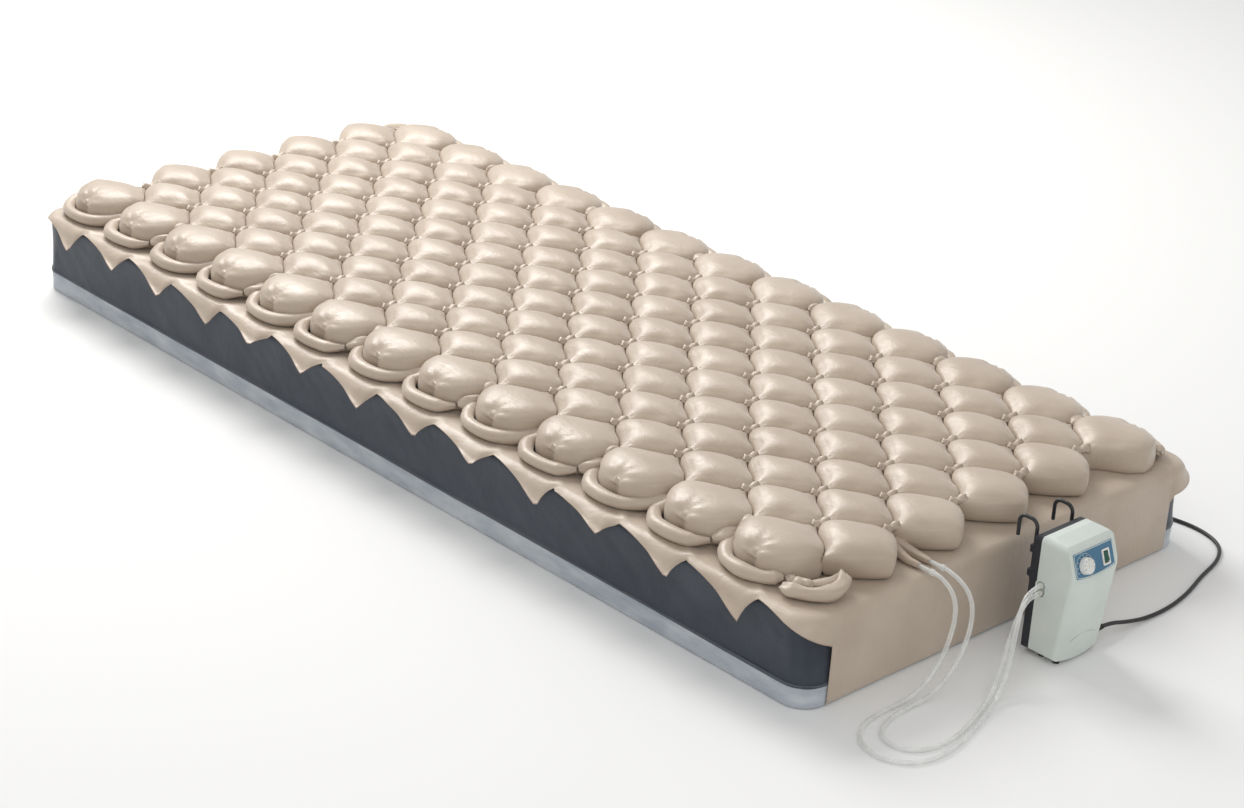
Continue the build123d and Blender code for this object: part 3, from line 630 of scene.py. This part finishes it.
def relaxed(shape, edge):
    """The blown shape eased, drawn out to a ridge at its two necks, and full beside them."""
    w = CELL_STEPS + 1
    grid = shape.reshape(w, w, 3).copy()
    for _ in range(14):
        inner = (grid[:-2, 1:-1] + grid[2:, 1:-1] + grid[1:-1, :-2] + grid[1:-1, 2:]) / 4
        line = np.minimum(np.arange(1, w - 1), np.arange(w - 2, 0, -1)) / (w / 2)
        ease = np.clip(np.minimum.outer(line, line) * 3.2, 0, 0.9)[..., None]
        grid[1:-1, 1:-1] = grid[1:-1, 1:-1] * (1 - ease) + inner * ease
    blown = (grid[:, :, 2] / grid[:, :, 2].max()).clip(0, 1) ** 0.7
    height = 0.3 * blown + 0.7 * pillow(w, edge) + corner_creases(w)
    for turns in range(4):
        grid[1, 1:-1, :2] = 0.8 * grid[0, 1:-1, :2] + 0.2 * grid[1, 1:-1, :2]
        grid[2, 2:-2, :2] = 0.45 * grid[1, 2:-2, :2] + 0.55 * grid[2, 2:-2, :2]
        grid = np.rot90(grid)
    grid[:, :, 2] = height
    return grid.reshape(-1, 3)


def pillow(w, edge):
    """A full cell's height: a ridge that falls to a neck at each end, and round flanks.

    Its other two corners dip, which leaves room for the necks of the cells beside it.
    """
    v, u = np.meshgrid(np.linspace(0, 1, w), np.linspace(0, 1, w), indexing="ij")
    toward = u - v
    away = np.abs(toward)
    flank = np.abs(u + v - 1) / np.maximum(1 - away, 1e-6)
    ridge = (1 - away**1.9).clip(0, 1) ** 0.85
    if edge:
        ridge = np.where(toward < 0, (1 - away**1.8).clip(0, 1) ** 0.72, ridge)
    section = (1 - flank.clip(0, 1) ** (2.8 - 1.4 * away)).clip(0, 1) ** (0.5 + 0.45 * away)
    to_tip = np.minimum(np.hypot(u, v), np.hypot(1 - u, 1 - v))
    return ridge * section * (1 - 0.85 * np.exp(-((to_tip / 0.095) ** 2)))


def corner_creases(w):
    """Short creases that fan out of each corner, strongest at the necks."""
    near = np.minimum(np.arange(w), np.arange(w)[::-1]) / w
    rows, columns = near[:, None], near[None, :]
    away, turn = np.hypot(rows, columns), np.arctan2(rows, columns)
    fan = np.cos(turn * 11) * np.exp(-(((away - 0.14) / 0.09) ** 2))
    half = np.arange(w) > w / 2
    strength = np.where(np.not_equal.outer(half, half), 1.0, 0.5)
    inside = np.clip(np.minimum(rows, columns) * w / 2, 0, 1)
    return 0.05 * fan * strength * inside


def pucker(shape, tip):
    """Gathers the film of an edge cell round the short weld at its outer tip."""
    x, y = shape[:, 0], shape[:, 1] - tip
    away, turn = np.hypot(x, y), np.arctan2(y, x)
    pull = 0.30 * np.exp(-((away / 0.013) ** 2)) + 0.10 * np.exp(-((away / 0.045) ** 2))
    creases = 0.045 * np.cos(turn * 9) * np.exp(-(((away - 0.020) / 0.012) ** 2))
    inside = np.clip(away / 0.004, 0, 1) * (shape[:, 2] > 0.02)
    shape[:, 2] -= np.minimum((pull - creases) * inside, 0.8 * shape[:, 2])
    return shape


def cell_mesh(shape, centre, turned, rise, web, edge):
    """Points and faces of one closed cell: upper film, and lower film down to the pad."""
    w = CELL_STEPS + 1
    flip = -1 if turned else 1
    points = []
    for x, y, z in shape:
        px, py = centre[0] + flip * x, centre[1] + flip * y
        puff = 0.0006 * z * wave(px * 19, py * 19, rise * 90)
        points.append((px, py, WELD_Z + z * (rise + puff)))
    faces = grid_faces(w, w)
    rim = rim_order()
    previous = rim
    under = ((0.99, 0.28), (0.955, 0.6), (0.88, 0.86), (0.76, 0.985))
    if edge:
        under = ((1.02, 0.2), (1.024, 0.5), (1.01, 0.82), (0.97, 0.985))
    if web and not edge:
        under = ((1.005, 0.035), (1.005, 0.06)) + under
    for share, drop in under:
        ring = []
        for k in rim:
            x, y, _ = points[k]
            ring.append(len(points))
            points.append(
                (
                    centre[0] + (x - centre[0]) * share,
                    centre[1] + (y - centre[1]) * share,
                    WELD_Z + (FILM_Z + 0.0003 - WELD_Z) * drop,
                )
            )
        count = len(rim)
        for k in range(count):
            a, b = previous[k], previous[(k + 1) % count]
            faces.append((a, ring[k], ring[(k + 1) % count], b))
        previous = ring
    faces.append(tuple(reversed(previous)))
    return points, faces


def add_cells():
    """All the cells of each circuit, in one piece per circuit, with the passages between them."""
    inner = [blow_up(seed) for seed in (3, 8, 21)]
    outer = [blow_up(seed, (0, 0, 2.0, 2.0), EDGE_NOTCH) for seed in (5, 13)]
    last = blow_up(6, (1.22, 0, 0, 1.22))
    rng = random.Random(11)
    for circuit, shift in (("a", 0.5), ("b", 1.0)):
        points, faces = [], []
        for i in range(ROWS):
            for j in range(ACROSS):
                centre = (LATTICE_X + (i + shift) * PITCH_X, LATTICE_Y + (j + shift) * PITCH_Y)
                edge = j == (0 if circuit == "a" else ACROSS - 1)
                end = i == (0 if circuit == "a" else ROWS - 1)
                turned = rng.random() < 0.5
                if edge:
                    shape, turned = rng.choice(outer), circuit == "b"
                elif end:
                    shape, turned = last, circuit == "a"
                else:
                    shape = rng.choice(inner)
                rise = CROWN_Z - WELD_Z - 0.001 - rng.uniform(0, 0.0024)
                made, joined = cell_mesh(shape, centre, turned, rise, circuit == "a", edge)
                first = len(points)
                points += made
                faces += [tuple(first + k for k in face) for face in joined]
                if j < ACROSS - 1:
                    add_passage(points, faces, centre[0], centre[1] + HALF_Y, rng)
        piece = add_piece(f"pad_cells_{circuit}", points, faces, "pad_film")
        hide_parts(f"air_cells_{circuit}")
        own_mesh(piece)


def add_passage(points, faces, x, y, rng):
    """The short gathered neck that joins two cells of one circuit: a bow tie with creases."""
    rings, around = 9, 10
    first = len(points)
    tilt = rng.uniform(-0.25, 0.25)
    for r in range(rings):
        t = r / (rings - 1) * 2 - 1
        wide = 0.0068 + 0.0048 * abs(t) ** 1.3 + rng.uniform(-0.0009, 0.0009)
        wide *= 0.25 if r in (0, rings - 1) else 1
        for c in range(around):
            turn = 2 * math.pi * c / around
            crease = 1 + 0.28 * math.cos(turn * 3 + r * 1.3)
            off = wide * crease * math.cos(turn)
            points.append(
                (x + off + tilt * t * 0.012, y + t * 0.0165,
                 WELD_Z + 0.0078 + 0.8 * wide * crease * math.sin(turn) + 0.002 * abs(t))
            )
    faces += grid_faces(rings, around, first, closed=True)
    cap_ends(faces, first, rings, around)


# ------------------------------------------------------------------ tubes of film
def smooth_path(corners, per=14):
    """A Catmull-Rom curve through given corners."""
    pts = [Vector(c) for c in corners]
    pts = [pts[0] * 2 - pts[1]] + pts + [pts[-1] * 2 - pts[-2]]
    path = []
    for k in range(1, len(pts) - 2):
        a, b, c, d = pts[k - 1 : k + 3]
        for i in range(per):
            t = i / per
            path.append(
                0.5
                * (2 * b + (c - a) * t + (2 * a - 5 * b + 4 * c - d) * t * t
                   + (3 * b - a - 3 * c + d) * t**3)
            )
    path.append(pts[-2])
    return path


def tube_mesh(points, faces, path, radius_at, around=14, flat=0.86):
    """A closed film tube along a path; radius_at gives its radius at each share of the length."""
    first, count = len(points), len(path)
    for k, place in enumerate(path):
        ahead = (path[min(k + 1, count - 1)] - path[max(k - 1, 0)]).normalized()
        side = ahead.cross(Vector((0, 0, 1))).normalized()
        up = side.cross(ahead)
        share = k / (count - 1)
        for c in range(around):
            turn = 2 * math.pi * c / around
            radius = radius_at(share, turn)
            points.append(
                place + side * radius * math.cos(turn) + up * radius * flat * math.sin(turn)
            )
    faces += grid_faces(count, around, first, closed=True)
    cap_ends(faces, first, count, around)


def channel_radius(phase):
    """Full in the middle, drawn in and creased at both ends."""

    def radius(share, turn):
        end = min(share, 1 - share)
        neck = min(1.0, 0.36 + end * 9)
        crease = 0.12 * math.exp(-((end / 0.05) ** 2)) * math.cos(turn * 5 + phase)
        return (0.0122 + 0.0010 * math.sin(share * 19 + phase)) * (neck + crease)

    return radius


def knot_radius(phase):
    """A short, twisted, flattened lump between two necks."""

    def radius(share, turn):
        body = 0.3 + 0.8 * abs(math.sin(math.pi * (share * 2 + 0.04))) ** 0.8
        fold = 1 + 0.17 * math.cos(turn * 3 + share * 9 + phase)
        return 0.0125 * body * (fold + 0.06 * math.cos(turn * 7 - share * 14))

    return radius


# The channel's way round two edge cells, from each cell's middle, for a cell of the near side.
FIRST_CELL_WAY = (
    (-0.067, -0.025, 0.174), (-0.0695, -0.042, 0.168), (-0.059, -0.064, 0.1645),
    (-0.037, -0.083, 0.1635), (0.000, -0.089, 0.1635), (0.034, -0.080, 0.1635),
    (0.0565, -0.057, 0.1645), (0.069, -0.037, 0.168),
)
SECOND_CELL_WAY = (
    (-0.068, -0.029, 0.1695), (-0.0625, -0.042, 0.168), (-0.0665, -0.057, 0.1645),
    (-0.057, -0.073, 0.1635), (-0.033, -0.088, 0.1635), (0.003, -0.090, 0.1635),
    (0.034, -0.082, 0.1635), (0.056, -0.064, 0.166),
)
LAST_CELL_END = ((0.057, -0.060, 0.166),)
KNOT_WAY = (
    (-0.090, -0.062, 0.168), (-0.079, -0.045, 0.173), (-0.073, -0.024, 0.181),
    (-0.074, -0.006, 0.187), (-0.074, 0.010, 0.186),
)


def add_channels():
    """The supply channel along each side: round two edge cells, then a pinch and a knot."""
    for circuit, side, shift in (("a", -1, 0.5), ("b", 1, 1.0)):
        points, faces = [], []
        rng = random.Random(40 + side)
        middle = side * (-LATTICE_Y - HALF_Y)

        def placed(way, x):
            return [
                (x + cx + rng.uniform(-0.0015, 0.0015), middle - side * cy, cz)
                for cx, cy, cz in way
            ]

        for i in range(0, ROWS, 2):
            x = LATTICE_X + (i + shift) * PITCH_X
            if i + 1 < ROWS:
                corners = placed(FIRST_CELL_WAY, x) + placed(SECOND_CELL_WAY, x + PITCH_X)
                tube_mesh(points, faces, smooth_path(placed(KNOT_WAY, x + 2 * PITCH_X), 8),
                          knot_radius(i), 14, 0.8)
            else:
                corners = placed(FIRST_CELL_WAY[:6] + LAST_CELL_END, x)
            tube_mesh(points, faces, smooth_path(corners), channel_radius(i * 1.7))
        add_corner_lumps(points, faces, side)
        piece = add_piece(f"pad_channel_{circuit}", points, faces, "pad_film")
        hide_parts(f"supply_channel_{circuit}")


def swollen_radius(phase, size):
    """A fat stretch of channel, folded along its length, that ends in gathered welds."""

    def radius(share, turn):
        end = min(share, 1 - share)
        fold = 0.15 * math.cos(turn * 3 + share * 8 + phase) * (0.5 + math.exp(-end * 7))
        crease = 0.07 * math.cos(turn * 7 - share * 15 + phase)
        swell = 0.14 * math.sin(share * 13 + phase)
        return size * (min(1.0, 0.34 + end * 4.5) + fold + crease + swell)

    return radius


def add_corner_lumps(points, faces, side):
    """The crumpled end of a channel beside the free corner of the pad, folded back on itself."""
    ways = (
        (0.0075, ((0.908, 0.396, 0.1665), (0.928, 0.397, 0.1655), (0.950, 0.386, 0.167),
                  (0.966, 0.364, 0.172), (0.966, 0.338, 0.178))),
        (0.0125, ((0.962, 0.338, 0.176), (0.979, 0.352, 0.172), (0.984, 0.378, 0.167),
                  (0.970, 0.402, 0.165), (0.946, 0.416, 0.164), (0.922, 0.422, 0.1635))),
        (0.0085, ((0.958, 0.394, 0.168), (0.944, 0.399, 0.172), (0.930, 0.409, 0.168))),
    )
    for k, (size, way) in enumerate(ways):
        path = smooth_path([(-side * x, side * y, z) for x, y, z in way], 9)
        tube_mesh(points, faces, path, swollen_radius(k * 2.1, size), 18, 0.82)


def add_inlets():
    """The film sleeves that hold the two air nipples at the foot end."""
    points, faces = [], []
    for y, start in ((-0.202, -0.197), (-0.178, -0.183)):
        path = smooth_path(
            ((0.930, start, 0.168), (0.950, (y + start) / 2, 0.162), (0.972, y, 0.1582),
             (0.988, y, 0.1581), (0.996, y, 0.1581)), 8
        )

        def radius(share, turn, phase=y * 90):
            return 0.0102 - 0.0056 * share**0.7 + 0.0006 * math.cos(turn * 5 + phase)

        tube_mesh(points, faces, path, radius, 18, 0.95)
    add_piece("pad_inlet_sleeves", points, faces, "pad_film")


# ------------------------------------------------------------------ base film and its hem
HEM_RISE, HEM_TIP = 0.013, 0.052
END_FLAP_W = 0.408


def tooth(place, normal):
    """Length, flare, slide and gather of the hem: slanting edges that end in low folds."""
    side = abs(normal.y)
    which, t = divmod((place.x - LATTICE_X) / PITCH_X + 0.12, 1.0)
    key = which * 1.37 + (5 if place.y > 0 else 0)
    tip = HEM_TIP + 0.012 * wave(key, 1.5)
    notch = HEM_RISE + 0.006 * wave(key, 4.5)
    low = 0.80 + 0.09 * wave(key, 7.5)
    jut = 0.023 + 0.007 * wave(key, 9.5)
    lean = 0.015 + 0.006 * wave(key, 11.5)
    if t < low:
        run = t / low
        length = notch + (tip - notch) * (0.25 * run + 0.75 * run**2.2)
        flare = 0.002 + 0.003 * math.sin(run * 9) * run + jut * run**2.2
        slide = lean * run**4
    else:
        run = (t - low) / (1 - low)
        length = tip + (notch - tip) * run**0.75
        flare = (jut + 0.002) * (1 - run) ** 1.6 - 0.003 * math.sin(run * math.pi)
        slide = lean * (1 - run) ** 1.5 - 0.006 * math.sin(run * math.pi)
    corner = 1 - side
    length, flare = length * side + 0.058 * corner, max(0.0, flare) * side + 0.004 * corner
    gather = math.exp(-((min(t, 1 - t) / 0.08) ** 2)) * side
    return length, flare, slide * side, gather


def end_fold(y, z, sign):
    """How far the sheet stands off the mattress's end in shallow folds."""
    fold = 0.0026 * wave(y * 8, z * 6, sign * 3) + 0.0013 * wave(y * 24, z * 9, 2)
    return max(-0.0003, fold)


def add_base_film():
    """The sheet under the cells: flat on top, over the edge, a toothed hem and two long flaps."""
    stations = 960
    insets = (0.13, 0.09, 0.06, 0.045, 0.033, 0.023)
    roll, start, drops = 0.0148, -0.0130, 15
    quarter = roll * math.pi / 2
    rings = [[] for _ in range(len(insets) + drops)]
    ends = []
    for k in range(stations):
        place, normal = outline_point(OUTLINE * k / stations)
        length, flare, slide, gather = tooth(place, normal)
        at_end = abs(normal.x) > 0.999 and abs(place.y) <= END_FLAP_W
        if at_end:
            length = 0.07
        ends.append(at_end)
        ripple = 0.0009 * wave(place.x * 30, place.y * 30, 6)
        ripple = max(0.0, ripple) + 0.0032 * gather
        for ring, inset in zip(rings, insets):
            x, y = place.x * (1 - inset / HALF_L), place.y * (1 - inset / HALF_W)
            ring.append((x, y, FILM_Z + ripple * (1 - inset / 0.13) ** 2))
        along = Vector((-normal.y, normal.x))
        for d in range(1, drops + 1):
            t = d / drops
            run = length * t
            bend = min(run, quarter) / roll
            out = start + roll * math.sin(bend)
            z = FILM_Z - roll * (1 - math.cos(bend)) - max(0.0, run - quarter)
            z += 0.0032 * gather * (1 - t) ** 2
            if at_end:
                out += end_fold(place.y, z, math.copysign(1, place.x)) * t
            else:
                crease = 0.0022 * wave(place.x * 19 - t * 0.9, place.y * 19, t * 2) * t
                out += flare * t**1.5 + max(0.0, crease)
                z += 0.55 * flare * t**3
            xy = place + normal * out + along * slide * t**2
            rings[len(insets) + d - 1].append((xy.x, xy.y, z))
    points = [p for ring in rings for p in ring]
    faces = grid_faces(len(rings), stations, closed=True)
    faces.append(tuple(range(stations)))
    for sign in (-1, 1):
        columns = [k for k in range(stations) if ends[k] and points[k][0] * sign > 0]
        hang_flap(points, faces, columns, (len(rings) - 1) * stations, sign)
    piece = add_piece("pad_base_sheet", points, [f[::-1] for f in faces], "pad_film")
    piece.data.materials.append(HEM_PAINTED_SHADE)
    # The hem's lowest band takes the darker copy of the film, as painted shade for its shaded
    # underside.
    first = (len(rings) - 2) * stations
    for k in range(stations):
        if not ends[k]:
            piece.data.polygons[first + k].material_index = 1
    thick = piece.modifiers.new("thickness", "SOLIDIFY")
    thick.thickness = 0.0008
    thick.offset = 1
    apply_modifiers(piece)
    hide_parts("pad_base_film")


def hang_flap(points, faces, columns, last_ring, sign):
    """Carries the sheet's end down to the floor of the mattress and in under it."""
    previous = [last_ring + k for k in columns]
    edge = HALF_L + 0.0018
    top = points[previous[0]][2]
    rows = [(edge, top + (0.010 - top) * k / 10) for k in range(1, 11)]
    rows += [(edge - 0.003, 0.0034), (edge - 0.009, 0.0014)]
    rows += [(edge - 0.02 - 0.23 * k / 8, 0.0010) for k in range(9)]
    for x, z in rows:
        ring = []
        for index in previous:
            y = points[index][1]
            upright = min(1.0, max(0.0, z / 0.02))
            ring.append(len(points))
            points.append((sign * (x + end_fold(y, z, sign) * upright), y, z))
        for k in range(len(ring) - 1):
            faces.append((previous[k], previous[k + 1], ring[k + 1], ring[k]))
        previous = ring


def add_foam():
    """The foam slab inside the covers, a little smaller than they are."""
    inset, roll = 0.015, 0.02
    low, high = 0.006, TOP_Z - 0.003
    levels = [
        (inset + roll * (1 - math.sin(a)), low + roll * (1 - math.cos(a))) for a in QUARTER_TURN
    ]
    levels += [
        (inset + roll * (1 - math.cos(a)), high - roll * (1 - math.sin(a))) for a in QUARTER_TURN
    ]
    piece = add_slab("mattress_foam", "foam_core", "foam", levels, 360, ["top", "bottom"],
                     plain_shape)


# ------------------------------------------------------------------ pump details
PANEL_AT = Vector((1.159, 0.005, 0.169))
PANEL_RIGHT = Vector((0, 1, 0))
PANEL_UP = Vector((-0.34732, 0, 0.93777))
PANEL_OUT = Vector((0.93777, 0, 0.34732))


def on_panel(right, up, out):
    return PANEL_AT + PANEL_RIGHT * right + PANEL_UP * up + PANEL_OUT * out


def ribbon(points, faces, line, wide, base, high, closed, place):
    """A low rounded strip along a flat line of (right, up) points, laid on a surface."""
    count, first = len(line), len(points)
    section = ((-0.5, 0), (-0.42, 1), (0.42, 1), (0.5, 0))
    for k in range(count):
        after = Vector(line[(k + 1) % count if closed else min(k + 1, count - 1)])
        before = Vector(line[(k - 1) % count if closed else max(k - 1, 0)])
        ahead = (after - before).normalized()
        side = Vector((-ahead.y, ahead.x))
        for across, up in section:
            x, y = Vector(line[k]) + side * across * wide
            points.append(place(x, y, base + up * high))
    rings = [[first + k * 4 + c for c in range(4)] for k in range(count)]
    for k in range(count if closed else count - 1):
        a, b = rings[k], rings[(k + 1) % count]
        for c in range(4):
            d = (c + 1) % 4
            faces.append((a[c], b[c], b[d], a[d]))
    if not closed:
        faces.append(tuple(reversed(rings[0])))
        faces.append(tuple(rings[-1]))


def panel_outline(inset):
    """The control panel's edge: square above, with a bowed lower edge."""
    half, top, low, bow, corner = 0.046 - inset, 0.0225 - inset, -0.020 + inset, 0.004, 0.003
    line = [
        ((half - corner) * share, low + bow * share * share)
        for share in (k / 12 - 1 for k in range(25))
    ]
    line += [(half, low + bow + corner), (half, top - corner), (half - corner, top)]
    line += [(-half + corner, top), (-half, top - corner), (-half, low + bow + corner)]
    return line


FRONT_AT = Vector((1.153, 0.005, 0.005))
FRONT_UP = Vector((0.016, 0, 0.137)).normalized()
FRONT_OUT = Vector((0.137, 0, -0.016)).normalized()


def on_front(right, up, out):
    return FRONT_AT + PANEL_RIGHT * right + FRONT_UP * up + FRONT_OUT * out


KNOB_RIGHT = -0.024  # middle of the knob, along the panel


def dial_point(degrees, radius):
    """A point of the panel at an angle and distance from the middle of the knob."""
    a = math.radians(degrees)
    return KNOB_RIGHT + radius * math.sin(a), radius * math.cos(a)


def add_pump_details():
    """Marks round the dial and on it, the line round the panel and the arc moulded in the case."""
    points, faces = [], []
    for degrees in range(-120, 121, 30):
        line = [dial_point(degrees, r) for r in (0.0148, 0.0156, 0.0172)]
        ribbon(points, faces, line, 0.0009, 0.0007, 0.00035, False, on_panel)
    line = [dial_point(degrees, 0.0186) for degrees in range(-120, 121, 5)]
    ribbon(points, faces, line, 0.0005, 0.0007, 0.0003, False, on_panel)
    add_piece("pump_dial_marks", points, faces, "white_plastic")

    points, faces = [], []
    ribbon(points, faces, panel_outline(0.0009), 0.0013, 0.0007, 0.0003, True, on_panel)
    add_piece("pump_panel_line", points, faces, "case_grey")

    points, faces = [], []
    arc = [(0.030 * s, 0.043 - 0.008 * s * s) for s in (k / 15 - 1 for k in range(31))]
    ribbon(points, faces, arc, 0.0009, -0.0002, 0.0007, False, on_front)
    add_piece("pump_front_arc", points, faces, "case_grey")

    points, faces = [], []
    for degrees in range(-108, 109, 36):
        line = [dial_point(degrees, r) for r in (0.0092, 0.0102, 0.0116)]
        ribbon(points, faces, line, 0.0008, 0.0103, 0.0005, False, on_panel)
    marks = add_piece("pump_knob_ticks", points, faces, "case_charcoal", "knob")
    marks.data.materials[0] = MATERIALS["black_rubber"]


add_camera()
add_cords()
add_studio()
paint_cad_nodes()
add_foam()
add_mattress()
add_base_film()
add_cells()
add_channels()
add_inlets()
add_pump_details()
